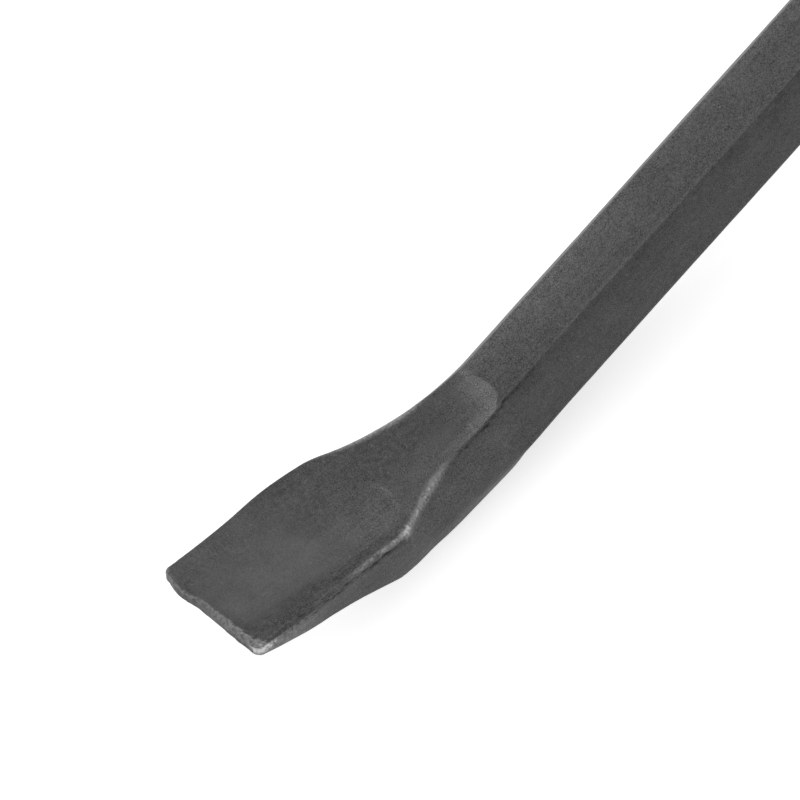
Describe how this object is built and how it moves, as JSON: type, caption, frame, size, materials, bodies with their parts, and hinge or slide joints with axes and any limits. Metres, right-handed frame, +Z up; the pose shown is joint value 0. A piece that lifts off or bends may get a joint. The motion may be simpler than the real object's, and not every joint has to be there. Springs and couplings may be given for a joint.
{
  "type": "gooseneck crowbar",
  "caption": "Hexagonal steel pry bar with a flat, upturned chisel at one end and a gooseneck hook with a forked nail claw at the other.",
  "frame": {"origin": "centre of the bounding box's bottom face, on the floor that the bar rests on", "axes": "+X along the bar from the chisel to the hook, +Y across the blade, +Z up with the chisel's broad face on top; the shaft rises about 10 degrees towards the hook, which opens downwards"},
  "size_m": [0.613, 0.031, 0.1053],
  "materials": {
    "forged_steel": "dark grey lacquer over forging scale, fine grain, low gloss",
    "worn_steel": "the same dark finish, worn through to bare grey steel along the edges and at the tip"
  },
  "bodies": {
    "root": {"chisel_blade": "worn_steel", "chisel_neck": "forged_steel", "hex_shaft": "forged_steel", "gooseneck": "forged_steel", "claw_root": "forged_steel", "left_tine": "worn_steel", "right_tine": "worn_steel"}
  },
  "joints": []
}
